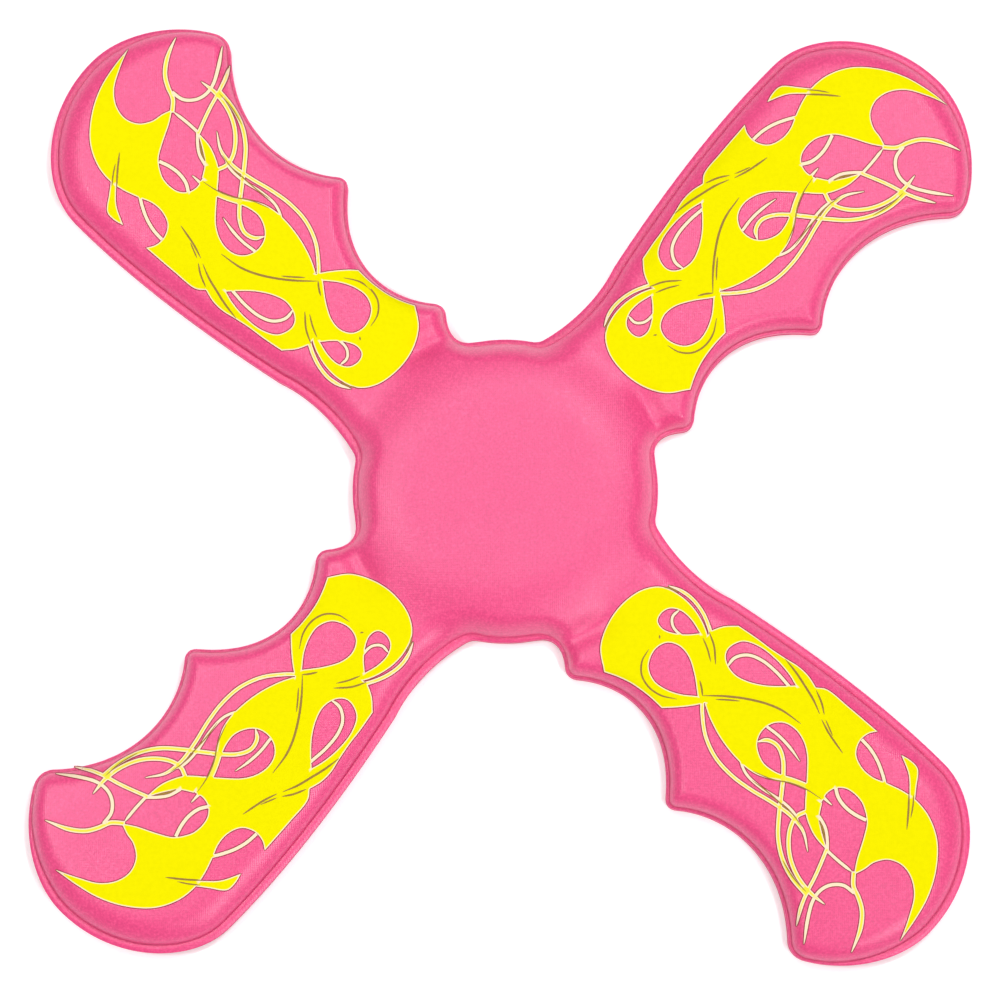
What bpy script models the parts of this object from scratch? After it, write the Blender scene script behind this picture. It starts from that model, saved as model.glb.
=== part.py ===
"""Soft four-armed throwing boomerang, 249 mm across, lying flat on its underside.

A moulded foam body with a raised round hub and four puffed blades sits on a flat
foam backing. Knit fabric covers both faces, hot-melt films bond the layers, and a
flame print is pressed on each blade. The blades have a thick smooth leading edge
and a thin scalloped trailing edge, so the outline is turned but not mirrored.

Frame: metres, +Z up. The origin is on the hub's axis at the underside. The blades
lie at 45, 135, 225 and 315 degrees. Blade coordinates below are in millimetres:
x outward along the blade, y towards its leading edge.
"""
import math

import bmesh
import bpy
import numpy as np
from mathutils.geometry import delaunay_2d_cdt

MM = 0.001
ARMS = 4

# Layers, from the floor up (mm)
COVER = 0.6          # knit fabric, top and bottom
FILM = 0.15          # hot-melt bond film
BACKING = 2.0        # flat foam sheet
GAP = 0.2            # clearance between neighbouring layers
PRINT = 0.15         # heat-transfer print

# Rises of the puffed body above the flat rim (mm)
ARM_RISE = 5.4
HUB_RISE = 9.6
HUB_FLAT_R = 21.0    # the dome is level inside this radius
HUB_FOOT_R = 43.5    # and has come down to the blades here
VALLEY_R = 43.5      # soft valley between the dome and each blade's trailing half
VALLEY_DEPTH = 2.4
VALLEY_WIDTH = 2.9
CROWN = 0.9          # the blades fall this much from their middle to 25 mm either side

# Rim outside the crease, and width of the rounded slope inside it (mm)
RIM_LEAD, RIM_TRAIL, RIM_HUB = 2.1, 0.8, 1.3
SLOPE_LEAD, SLOPE_TRAIL, SLOPE_HUB = 7.5, 4.0, 6.5
BODY_INSET = 1.1     # the foam body's edge lies this far inside the crease

# Blade outline (mm)
NOTCH = (33.4, -22.5)
CUSP_INNER = (46.4, -24.0)
CUSP_MIDDLE = (88.8, -30.1)
CUSP_OUTER = (138.0, -34.1)
TIP_END = (159.9, -4.0)
TIP_TOP = (132.0, 30.2)
NECK = (62.5, 21.75)
CORNER = (34.0, 21.6)
# and how each curve between them is pulled
NOTCH_PULL = (36.6, -18.1), (40.4, -18.0)
INNER_PULL = (57.2, -13.2), (74.8, -10.8)
OUTER_PULL = (99.0, -19.1), (120.6, -15.1)
TIP_PULL = (150.4, -29.3), (159.9, -15.8)
TOP_PULL = (159.9, 15.0), (145.6, 30.2)
LEAD_PULL = (108.0, 30.3), (82.0, 25.9)
NECK_PULL = (55.5, 19.2), (44.5, 18.4)

# Outline of the flame print on one blade (mm)
FLAME = [
    (43.2, -0.5), (44.3, 6.3), (47.5, 10.6), (52.0, 13.0), (57.0, 13.6), (64.5, 11.5),
    (68.7, 17.4), (79.0, 19.0), (90.3, 21.0), (96.3, 21.8), (104.0, 22.4), (112.5, 23.0),
    (112.3, 18.0), (117.5, 13.9), (125.0, 15.5), (134.0, 17.4), (144.5, 13.7),
    (149.5, 8.3), (152.8, 2.0), (154.4, -4.5), (155.4, -10.2), (153.0, -5.6),
    (146.3, 2.2), (142.3, 2.6), (138.8, 1.2), (136.6, -2.5), (135.2, -7.2), (130.4, 0.8),
    (126.3, 5.6), (121.0, 7.2), (116.4, 4.5), (116.2, -1.0), (122.0, -6.4),
    (115.0, -5.0), (108.5, -0.6), (103.0, -3.6), (97.0, -7.3), (86.0, -7.0),
    (77.5, -4.2), (69.5, -11.0), (60.0, -12.2), (52.5, -14.8), (47.3, -11.8), (44.4, -6.5)]
# The prints are pressed on one by one: how far along, across and turned (degrees) each one sits
PRINT_SHIFTS = [(0.35, 0.35, 0.45), (-1.15, -1.5, 0.15), (-2.75, -0.5, -0.35), (0.0, 0.0, 0.0)]
PRINT_PIVOT = 100.0

# Facet sizes (mm)
CHORD = 0.14         # a facet of the outline stays this close to its curve
FACET_MAX = 9.0
GRID = 8.0


# ---------------------------------------------------------------- outline
def bezier(p0, p1, p2, p3, n):
    out = []
    for i in range(n + 1):
        t = i / n
        u = 1 - t
        out.append(tuple(u ** 3 * a + 3 * u * u * t * b + 3 * u * t * t * c + t ** 3 * d
                         for a, b, c, d in zip(p0, p1, p2, p3)))
    return out


def cut_back(points, length, from_end):
    """Takes a length off the start or the end of a polyline."""
    if from_end:
        return cut_back(points[::-1], length, False)[::-1]
    for i in range(len(points) - 1):
        step = math.dist(points[i], points[i + 1])
        if step > length:
            t = length / step
            return [tuple(a + (b - a) * t for a, b in zip(points[i], points[i + 1]))] + points[i + 1:]
        length -= step
    return points[-1:]


def join(a, b, cut, n):
    """Joins two polylines that meet, with the corner between them rounded."""
    corner = a[-1]
    a, b = cut_back(a, cut, True), cut_back(b, cut, False)
    p0, p3 = a[-1], b[0]
    p1, p2 = (tuple(x + (y - x) * 0.62 for x, y in zip(p, corner)) for p in (p0, p3))
    return a[:-1] + bezier(p0, p1, p2, p3, n) + b[1:]


def turn(p, angle):
    c, s = math.cos(angle), math.sin(angle)
    return (c * p[0] - s * p[1], s * p[0] + c * p[1])


def sector():
    """The outline from the middle of one hub arc, round a blade, to the middle of the next."""
    r_in, a_in = math.hypot(*NOTCH), math.atan2(NOTCH[1], NOTCH[0]) + math.pi / 2
    r_out, a_out = math.hypot(*CORNER), math.atan2(CORNER[1], CORNER[0])
    hub = []
    for i in range(17):
        r, a = r_out + (r_in - r_out) * i / 16, a_out + (a_in - a_out) * i / 16
        hub.append((r * math.cos(a), r * math.sin(a)))
    tip = (bezier(CUSP_OUTER, *TIP_PULL, TIP_END, 20)
           + bezier(TIP_END, *TOP_PULL, TIP_TOP, 20)[1:])
    lead = (bezier(TIP_TOP, *LEAD_PULL, NECK, 24)
            + bezier(NECK, *NECK_PULL, CORNER, 14)[1:])
    path = [turn(p, -math.pi / 2) for p in hub[8:]]
    path = join(path, bezier(NOTCH, *NOTCH_PULL, CUSP_INNER, 8), 2.2, 4)
    path = join(path, bezier(CUSP_INNER, *INNER_PULL, CUSP_MIDDLE, 24), 3.3, 6)
    path = join(path, bezier(CUSP_MIDDLE, *OUTER_PULL, CUSP_OUTER, 28), 3.6, 6)
    path = join(path, tip, 4.0, 6)
    path = path[:-1] + lead
    return join(path, hub[:9], 1.6, 3)


def ease(t):
    t = np.clip(t, 0.0, 1.0)
    return t * t * (3 - 2 * t)


def edge_widths(path):
    """Rim and slope width at each point of one sector."""
    rim, slope = [], []
    for x, y in path:
        if math.hypot(x, y) < 40.9:
            rim.append(RIM_HUB)
            slope.append(SLOPE_HUB)
        else:
            lead = float(ease((y + 33.0) / 24.0)) if x > 136.0 else float(y > 0)
            rim.append(RIM_TRAIL + (RIM_LEAD - RIM_TRAIL) * lead)
            slope.append(SLOPE_TRAIL + (SLOPE_LEAD - SLOPE_TRAIL) * lead)
    return rim, slope


def thin_out(path, chord, longest):
    """Indices of the points that keep a polyline within chord of its curve."""
    keep, i = [0], 0
    while i < len(path) - 1:
        j = i + 1
        while j + 1 < len(path):
            (x0, y0), (x1, y1) = path[i], path[j + 1]
            span = math.dist(path[i], path[j + 1])
            off = max(abs((x1 - x0) * (y - y0) - (y1 - y0) * (x - x0)) / span
                      for x, y in path[i + 1:j + 1])
            if off > chord or span > longest:
                break
            j += 1
        keep.append(j)
        i = j
    return keep


def around(points):
    """One blade's points turned to all the blades, in the part's own axes."""
    return [turn(p, math.pi / 4 + k * math.pi / 2) for k in range(ARMS) for p in points]


PATH = sector()
PATH_RIM, PATH_SLOPE = edge_widths(PATH)
KEEP = thin_out(PATH, CHORD, FACET_MAX)[:-1]
FINE = np.array(around(PATH[:-1]))
FINE_RIM = np.array(PATH_RIM[:-1] * ARMS)
FINE_SLOPE = np.array(PATH_SLOPE[:-1] * ARMS)
for _ in range(12):   # the widths change gradually along the edge
    FINE_RIM = (np.roll(FINE_RIM, 1) + 2 * FINE_RIM + np.roll(FINE_RIM, -1)) / 4
    FINE_SLOPE = (np.roll(FINE_SLOPE, 1) + 2 * FINE_SLOPE + np.roll(FINE_SLOPE, -1)) / 4


# ---------------------------------------------------------------- height of the top face
def to_edge(points):
    """Distance to the outline, and the rim and slope width where it is nearest."""
    points = np.asarray(points, dtype=float)
    a, b = FINE, np.roll(FINE, -1, axis=0)
    ab = b - a
    ap = points[:, None, :] - a[None, :, :]
    t = np.clip((ap * ab).sum(-1) / (ab * ab).sum(-1), 0, 1)
    dist = np.hypot(*np.moveaxis(ap - t[..., None] * ab, -1, 0))
    i = dist.argmin(1)
    row = np.arange(len(points))
    t = t[row, i]
    rim = FINE_RIM[i] * (1 - t) + np.roll(FINE_RIM, -1)[i] * t
    slope = FINE_SLOPE[i] * (1 - t) + np.roll(FINE_SLOPE, -1)[i] * t
    return dist[row, i], rim, slope


def rise(points):
    """How far the puffed top stands above the flat rim (mm)."""
    points = np.asarray(points, dtype=float)
    dist, rim, slope = to_edge(points)
    t = np.clip((dist - rim) / slope, 0, 1)
    puff = (1 - (1 - t) ** 2) ** 0.62
    r = np.hypot(points[:, 0], points[:, 1])
    out = np.clip((r - HUB_FLAT_R) / (HUB_FOOT_R - HUB_FLAT_R), 0, 1)
    dome = 1 - out ** 3 * (4 - 3 * out)
    valley = np.zeros(len(points))
    crown = np.zeros(len(points))
    for k in range(ARMS):
        c, s = math.cos(math.pi / 4 + k * math.pi / 2), math.sin(math.pi / 4 + k * math.pi / 2)
        x = c * points[:, 0] + s * points[:, 1]
        y = -s * points[:, 0] + c * points[:, 1]
        valley += ease((1.0 - y) / 13.0) * ease((x - 20.0) / 8.0) * ease((27.0 + y) / 3.0)
        crown += CROWN * ease((x - 42.0) / 25.0) * (y / 25.0) ** 2
    valley *= VALLEY_DEPTH * np.exp(-((r - VALLEY_R) / VALLEY_WIDTH) ** 2)
    return puff * (ARM_RISE + (HUB_RISE - ARM_RISE) * dome - valley - crown)


# Levels of the layers (mm)
Z_FILM_LOWER = COVER + GAP
Z_BACKING = Z_FILM_LOWER + FILM + GAP
Z_FILM_OVER = Z_BACKING + BACKING + GAP
Z_BODY = Z_FILM_OVER + FILM + GAP
Z_RIM_TOP = Z_BODY + COVER


# ---------------------------------------------------------------- one flat net for all puffed layers
def inset_loop(extra, every=1):
    """A loop inside the crease by extra, left out where it would run into itself."""
    n = len(PATH) - 1
    ids = [k * n + i for k in range(ARMS) for i in KEEP]
    ids = ids[::every]
    tangent = np.roll(FINE, -1, axis=0) - np.roll(FINE, 1, axis=0)
    normal = np.stack([-tangent[:, 1], tangent[:, 0]], 1)
    normal /= np.linalg.norm(normal, axis=1)[:, None]
    depth = FINE_RIM + extra if extra is not None else np.zeros(len(FINE))
    pts = (FINE + normal * depth[:, None])[ids]
    dist, rim, _ = to_edge(pts)
    want = depth[ids]
    ok = dist > want * 0.985 - 1e-6
    return [tuple(p) for p, good in zip(pts, ok) if good]


def placed(p, k):
    """A point of the print where print k really sits on its blade."""
    along, across, degrees = PRINT_SHIFTS[k]
    x, y = turn((p[0] - PRINT_PIVOT, p[1]), math.radians(degrees))
    return (x + PRINT_PIVOT + along, y + across)


def build_net():
    """Triangles over the outline that also follow the crease, the body's edge and the prints."""
    edge = around([PATH[i] for i in KEEP])
    crease = inset_loop(0.0)
    body = inset_loop(BODY_INSET)
    shoulder = inset_loop(3.2, 2)
    prints = [[turn(placed(p, k), math.pi / 4 + k * math.pi / 2) for p in FLAME[::-1]]
              for k in range(ARMS)]
    verts, faces = [], []

    def add(loop):
        start = len(verts)
        verts.extend(loop)
        faces.append(list(range(start, len(verts))))

    for loop in [edge, crease, body] + prints:
        add(loop)
    held = np.array(verts)
    loose = []
    for p in shoulder:
        if np.hypot(*(held - p).T).min() > 1.6:
            loose.append(p)
    held = np.array(verts + loose)
    rows = int(130 / (GRID * 0.866)) + 1
    for j in range(-rows, rows + 1):
        for i in range(-17, 18):
            loose.append(((i + 0.5 * (j % 2)) * GRID, j * GRID * 0.866))
    spread = np.array(loose[len(held) - len(verts):])
    dist, rim, _ = to_edge(spread)
    inside = points_in(spread, FINE)
    near = np.array([np.hypot(*(held - p).T).min() for p in spread])
    chosen = [tuple(p) for p, a, b, c in zip(spread, inside, dist > rim + 3.6, near > GRID * 0.42)
              if a and b and c]
    verts = verts + loose[:len(held) - len(verts)] + chosen
    out_v, _, out_f, _, _, out_of = delaunay_2d_cdt(verts, [], faces, 1, 1e-5)
    return [tuple(v) for v in out_v], out_f, out_of


def points_in(points, loop):
    x, y = points[:, 0], points[:, 1]
    inside = np.zeros(len(points), dtype=bool)
    for (x0, y0), (x1, y1) in zip(loop, np.roll(loop, -1, axis=0)):
        if y0 != y1:
            hit = ((y0 > y) != (y1 > y)) & (x < (x1 - x0) * (y - y0) / (y1 - y0) + x0)
            inside ^= hit
    return inside


# ---------------------------------------------------------------- objects
def material(name, color, roughness, sheen=0.0, transmission=0.0):
    mat = bpy.data.materials.new(name)
    mat.use_nodes = True
    shader = mat.node_tree.nodes["Principled BSDF"]
    shader.inputs["Base Color"].default_value = (*color, 1.0)
    shader.inputs["Roughness"].default_value = roughness
    shader.inputs["Metallic"].default_value = 0.0
    shader.inputs["Sheen Weight"].default_value = sheen
    mat.diffuse_color = (*color, 1.0)
    return mat


def flat_layer(name, loop, z, thickness, mat, collection, root):
    """A flat die-cut sheet: a filled 2D outline, extruded."""
    curve = bpy.data.curves.new(name, "CURVE")
    curve.dimensions = "2D"
    curve.fill_mode = "BOTH"
    curve.extrude = thickness * MM / 2
    spline = curve.splines.new("POLY")
    spline.points.add(len(loop) - 1)
    for point, (x, y) in zip(spline.points, loop):
        point.co = (x * MM, y * MM, 0.0, 1.0)
    spline.use_cyclic_u = True
    obj = bpy.data.objects.new(name, curve)
    obj.location = (0.0, 0.0, (z + thickness / 2) * MM)
    obj.parent = root
    curve.materials.append(mat)
    collection.objects.link(obj)
    return obj


def puffed_layer(name, verts, tris, top, bottom, mat, collection, root):
    """A layer between two height fields over the same net. top and bottom give z in mm."""
    used = sorted({i for f in tris for i in f})
    index = {v: i for i, v in enumerate(used)}
    bm = bmesh.new()
    upper = [bm.verts.new((verts[i][0] * MM, verts[i][1] * MM, top[i] * MM)) for i in used]
    for f in tris:
        bm.faces.new([upper[index[i]] for i in f])
    bmesh.ops.recalc_face_normals(bm, faces=bm.faces)
    if sum(f.normal.z for f in bm.faces) < 0:
        bmesh.ops.reverse_faces(bm, faces=bm.faces)
    low = {(round(v.co.x, 7), round(v.co.y, 7)): bottom[i] * MM for v, i in zip(upper, used)}
    made = bmesh.ops.extrude_face_region(bm, geom=list(bm.faces), use_keep_orig=True)
    for v in made["geom"]:
        if isinstance(v, bmesh.types.BMVert):
            v.co.z = low[(round(v.co.x, 7), round(v.co.y, 7))]
    for f in [f for f in made["geom"] if isinstance(f, bmesh.types.BMFace)]:
        f.normal_flip()
    bmesh.ops.recalc_face_normals(bm, faces=bm.faces)
    mesh = bpy.data.meshes.new(name)
    bm.to_mesh(mesh)
    bm.free()
    mesh.materials.append(mat)
    mesh.shade_smooth()
    mesh.set_sharp_from_angle(angle=math.radians(50))
    obj = bpy.data.objects.new(name, mesh)
    obj.parent = root
    collection.objects.link(obj)
    return obj


def main():
    for obj in list(bpy.data.objects):
        bpy.data.objects.remove(obj, do_unlink=True)
    collection = bpy.data.collections.new("boomerang")
    bpy.context.scene.collection.children.link(collection)
    root = bpy.data.objects.new("boomerang_frame", None)
    collection.objects.link(root)

    knit = material("pink_knit", (0.87, 0.13, 0.27), 0.75, sheen=0.3)
    lining = material("pink_knit_lower", (0.84, 0.12, 0.25), 0.8, sheen=0.2)
    foam = material("foam", (0.86, 0.30, 0.40), 0.85)
    sheet = material("foam_sheet", (0.84, 0.28, 0.38), 0.85)
    glue = material("hot_melt_film", (0.82, 0.78, 0.70), 0.45)
    ink = material("yellow_print", (0.93, 0.88, 0.03), 0.5)

    verts, tris, member = build_net()
    plane = np.array(verts)
    top = Z_RIM_TOP + rise(plane)
    whole = [f for f, m in zip(tris, member) if 0 in m]
    core = [f for f, m in zip(tris, member) if 2 in m]

    edge = around([PATH[i] for i in KEEP])
    body_edge = inset_loop(BODY_INSET)
    flat_layer("bottom_cover", edge, 0.0, COVER, lining, collection, root)
    flat_layer("bond_film_lower", edge, Z_FILM_LOWER, FILM, glue, collection, root)
    flat_layer("foam_backing", edge, Z_BACKING, BACKING, sheet, collection, root)
    flat_layer("bond_film_middle", body_edge, Z_FILM_OVER, FILM, glue, collection, root)
    under_cover = top - COVER - GAP
    puffed_layer("foam_body", verts, core, under_cover - FILM - GAP,
                 np.full(len(verts), Z_BODY), foam, collection, root)
    puffed_layer("bond_film_upper", verts, whole, under_cover, under_cover - FILM,
                 glue, collection, root)
    puffed_layer("top_cover", verts, whole, top, top - COVER, knit, collection, root)
    for k in range(ARMS):
        flame = [f for f, m in zip(tris, member) if 3 + k in m]
        puffed_layer(f"flame_print_{k + 1}", verts, flame, top + GAP + PRINT, top + GAP,
                     ink, collection, root)


main()
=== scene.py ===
"""The looks of the soft four-armed boomerang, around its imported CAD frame."""

import math

import bmesh
import bpy
import numpy as np
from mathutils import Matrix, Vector, noise
from mathutils.bvhtree import BVHTree
from mathutils.geometry import delaunay_2d_cdt
from mathutils.kdtree import KDTree


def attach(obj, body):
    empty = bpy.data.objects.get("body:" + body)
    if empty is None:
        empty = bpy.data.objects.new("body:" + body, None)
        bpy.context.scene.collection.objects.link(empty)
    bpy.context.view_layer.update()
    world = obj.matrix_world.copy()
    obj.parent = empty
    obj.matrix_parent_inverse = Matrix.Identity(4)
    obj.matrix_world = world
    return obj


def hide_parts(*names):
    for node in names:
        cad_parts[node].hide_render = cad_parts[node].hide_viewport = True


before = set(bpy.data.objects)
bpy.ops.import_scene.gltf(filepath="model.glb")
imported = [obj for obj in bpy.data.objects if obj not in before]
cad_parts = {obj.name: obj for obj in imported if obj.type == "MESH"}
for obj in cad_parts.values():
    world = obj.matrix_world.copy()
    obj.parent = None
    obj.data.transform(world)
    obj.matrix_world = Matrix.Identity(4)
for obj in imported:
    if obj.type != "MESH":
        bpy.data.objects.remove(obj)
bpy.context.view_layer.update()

MM = 0.001
ARMS = 4

# ------------------------------------------------------------------ the form, as in the CAD (mm)
ARM_RISE = 5.4
HUB_RISE = 9.6
HUB_FLAT_R = 21.0
HUB_FOOT_R = 43.5
VALLEY_R = 43.5
VALLEY_DEPTH = 1.9
VALLEY_WIDTH = 3.4
CROWN = 0.9
RIM_LEAD, RIM_TRAIL, RIM_HUB = 2.1, 0.8, 1.3
SLOPE_LEAD, SLOPE_TRAIL, SLOPE_HUB = 7.5, 4.0, 5.4
BODY_INSET = 1.1
NOTCH = (33.4, -22.5)
CUSP_INNER = (46.4, -24.0)
CUSP_MIDDLE = (88.8, -30.1)
CUSP_OUTER = (138.0, -34.1)
TIP_END = (159.9, -4.0)
TIP_TOP = (132.0, 30.2)
NECK = (62.5, 21.75)
CORNER = (34.0, 21.6)
NOTCH_PULL = (36.6, -18.1), (40.4, -18.0)
INNER_PULL = (57.2, -13.2), (74.8, -10.8)
OUTER_PULL = (99.0, -19.1), (120.6, -15.1)
TIP_PULL = (150.4, -29.3), (159.9, -15.8)
TOP_PULL = (159.9, 15.0), (145.6, 30.2)
LEAD_PULL = (108.0, 30.3), (82.0, 25.9)
NECK_PULL = (55.5, 19.2), (44.5, 18.4)
Z_RIM_TOP = 4.3      # top of the flat rim

# layers as they are shown: pressed together, so the small clearances of the CAD are closed up
BOTTOM = (0.0, 0.74)
FILM_LOWER = (0.76, 0.93)
BACKING = (0.95, 3.42)
FILM_OVER = (3.44, 3.59)
COVER = 0.68
FILM = 0.15
SEAM = 0.02

CREASE_DEPTH = 0.22
STEP = 0.8           # spacing of points along the outline
GRID = 1.05


def bezier(p0, p1, p2, p3, n):
    out = []
    for i in range(n + 1):
        t = i / n
        u = 1 - t
        out.append(tuple(u ** 3 * a + 3 * u * u * t * b + 3 * u * t * t * c + t ** 3 * d
                         for a, b, c, d in zip(p0, p1, p2, p3)))
    return out


def cut_back(points, length, from_end):
    if from_end:
        return cut_back(points[::-1], length, False)[::-1]
    for i in range(len(points) - 1):
        step = math.dist(points[i], points[i + 1])
        if step > length:
            t = length / step
            return [tuple(a + (b - a) * t for a, b in zip(points[i], points[i + 1]))] + points[i + 1:]
        length -= step
    return points[-1:]


def join(a, b, cut, n):
    corner = a[-1]
    a, b = cut_back(a, cut, True), cut_back(b, cut, False)
    p0, p3 = a[-1], b[0]
    p1, p2 = (tuple(x + (y - x) * 0.62 for x, y in zip(p, corner)) for p in (p0, p3))
    return a[:-1] + bezier(p0, p1, p2, p3, n) + b[1:]


def turn(p, angle):
    c, s = math.cos(angle), math.sin(angle)
    return (c * p[0] - s * p[1], s * p[0] + c * p[1])


def sector():
    """The outline from the middle of one hub arc, round a blade, to the middle of the next."""
    m = 4
    r_in, a_in = math.hypot(*NOTCH), math.atan2(NOTCH[1], NOTCH[0]) + math.pi / 2
    r_out, a_out = math.hypot(*CORNER), math.atan2(CORNER[1], CORNER[0])
    hub = []
    for i in range(33):
        r, a = r_out + (r_in - r_out) * i / 32, a_out + (a_in - a_out) * i / 32
        hub.append((r * math.cos(a), r * math.sin(a)))
    tip = (bezier(CUSP_OUTER, *TIP_PULL, TIP_END, 20 * m)
           + bezier(TIP_END, *TOP_PULL, TIP_TOP, 20 * m)[1:])
    lead = (bezier(TIP_TOP, *LEAD_PULL, NECK, 24 * m)
            + bezier(NECK, *NECK_PULL, CORNER, 14 * m)[1:])
    path = [turn(p, -math.pi / 2) for p in hub[16:]]
    path = join(path, bezier(NOTCH, *NOTCH_PULL, CUSP_INNER, 8 * m), 2.2, 8)
    path = join(path, bezier(CUSP_INNER, *INNER_PULL, CUSP_MIDDLE, 24 * m), 3.3, 12)
    path = join(path, bezier(CUSP_MIDDLE, *OUTER_PULL, CUSP_OUTER, 28 * m), 3.6, 12)
    path = join(path, tip, 4.0, 12)
    path = path[:-1] + lead
    return join(path, hub[:17], 1.6, 6)


def evenly(path, step):
    """The same polyline with points step apart."""
    p = np.array(path)
    s = np.concatenate([[0], np.cumsum(np.hypot(*np.diff(p, axis=0).T))])
    n = max(2, int(round(s[-1] / step)))
    at = np.linspace(0, s[-1], n + 1)
    return np.stack([np.interp(at, s, p[:, 0]), np.interp(at, s, p[:, 1])], 1)


def ease(t):
    t = np.clip(t, 0.0, 1.0)
    return t * t * (3 - 2 * t)


def spin(points, k):
    """Blade coordinates to the part's axes, for blade k."""
    points = np.asarray(points, float)
    a = math.pi / 4 + k * math.pi / 2
    c, s = math.cos(a), math.sin(a)
    return np.stack([c * points[:, 0] - s * points[:, 1], s * points[:, 0] + c * points[:, 1]], 1)


ONE = evenly(sector(), 0.4)[:-1]
_rim, _slope = [], []
for x, y in ONE:
    if math.hypot(x, y) < 40.9:
        _rim.append(RIM_HUB)
        _slope.append(SLOPE_HUB)
    else:
        _lead = float(ease((y + 33.0) / 24.0)) if x > 136.0 else float(y > 0)
        _rim.append(RIM_TRAIL + (RIM_LEAD - RIM_TRAIL) * _lead)
        _slope.append(SLOPE_TRAIL + (SLOPE_LEAD - SLOPE_TRAIL) * _lead)
FINE = np.concatenate([spin(ONE, k) for k in range(ARMS)])
FINE_RIM = np.array(_rim * ARMS)
FINE_SLOPE = np.array(_slope * ARMS)
for _ in range(60):
    FINE_RIM = (np.roll(FINE_RIM, 1) + 2 * FINE_RIM + np.roll(FINE_RIM, -1)) / 4
    FINE_SLOPE = (np.roll(FINE_SLOPE, 1) + 2 * FINE_SLOPE + np.roll(FINE_SLOPE, -1)) / 4
_t = np.roll(FINE, -1, axis=0) - np.roll(FINE, 1, axis=0)
FINE_IN = np.stack([-_t[:, 1], _t[:, 0]], 1) / np.linalg.norm(_t, axis=1)[:, None]
TREE = KDTree(len(FINE))
for i, p in enumerate(FINE):
    TREE.insert((p[0], p[1], 0.0), i)
TREE.balance()


def to_edge(points):
    """Distance to the outline, and the rim and slope width where it is nearest."""
    n = len(FINE)
    near = np.array([TREE.find((x, y, 0.0))[1] for x, y in points])
    best = np.full(len(points), 1e9)
    rim = np.zeros(len(points))
    slope = np.zeros(len(points))
    for shift in (-1, 0):
        i = (near + shift) % n
        j = (i + 1) % n
        ab = FINE[j] - FINE[i]
        ap = points - FINE[i]
        t = np.clip((ap * ab).sum(1) / (ab * ab).sum(1), 0, 1)
        d = np.hypot(*(ap - t[:, None] * ab).T)
        take = d < best
        best = np.where(take, d, best)
        rim = np.where(take, FINE_RIM[i] * (1 - t) + FINE_RIM[j] * t, rim)
        slope = np.where(take, FINE_SLOPE[i] * (1 - t) + FINE_SLOPE[j] * t, slope)
    return best, rim, slope


def inside(points, loop):
    x, y = points[:, 0], points[:, 1]
    hit = np.zeros(len(points), dtype=bool)
    for (x0, y0), (x1, y1) in zip(loop, np.roll(loop, -1, axis=0)):
        if y0 != y1:
            hit ^= ((y0 > y) != (y1 > y)) & (x < (x1 - x0) * (y - y0) / (y1 - y0) + x0)
    return hit


def form(points):
    """Height of the top face (mm), how near the rim's groove a point is (a weight that also paints shade into the
    knit there), and its distance from the edge.
    """
    d, rim, slope = to_edge(points)
    t = np.clip((d - rim) / slope, 0, 1)
    puff = (1 - (1 - t) ** 2) ** 0.62
    r = np.hypot(points[:, 0], points[:, 1])
    out = np.clip((r - HUB_FLAT_R) / (HUB_FOOT_R - HUB_FLAT_R), 0, 1)
    dome = 1 - out ** 3 * (4 - 3 * out)
    valley = np.zeros(len(points))
    crown = np.zeros(len(points))
    for k in range(ARMS):
        c, s = math.cos(math.pi / 4 + k * math.pi / 2), math.sin(math.pi / 4 + k * math.pi / 2)
        x = c * points[:, 0] + s * points[:, 1]
        y = -s * points[:, 0] + c * points[:, 1]
        valley += ease((1.0 - y) / 13.0) * ease((x - 20.0) / 8.0) * ease((27.0 + y) / 3.0)
        crown += CROWN * ease((x - 42.0) / 25.0) * (y / 25.0) ** 2
    valley *= VALLEY_DEPTH * np.exp(-((r - VALLEY_R) / VALLEY_WIDTH) ** 2)
    z = Z_RIM_TOP + puff * (ARM_RISE + (HUB_RISE - ARM_RISE) * dome - valley - crown)
    groove = np.exp(-((d - rim) / 0.32) ** 2)
    blade = np.clip((r - 44) / 12, 0.1, 1)     # round the hub the rim hardly shows
    groove = groove * blade
    z = z - groove * CREASE_DEPTH * (0.35 + 0.65 * np.clip(rim / RIM_LEAD, 0, 1))
    z = z - 0.34 * np.clip(1 - d / rim, 0, 1) ** 1.6 - 0.26 * np.clip(1 - d / 0.5, 0, 1) ** 2
    wave = np.array([noise.noise(Vector((x * 0.055, y * 0.055, 3.1))) for x, y in points])
    z = z + 0.16 * wave * ease((d - rim) / 6.0)
    return z, groove, d


def ring(depth, every, share=0.0):
    """Points at a depth inside the outline: share of the rim's width plus depth, where that is clear."""
    want = FINE_RIM * share + depth
    p = FINE + FINE_IN * want[:, None]
    p, want = p[::every], want[::every]
    d, _, _ = to_edge(p)
    return p[d > want * 0.985 - 1e-6]


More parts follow.
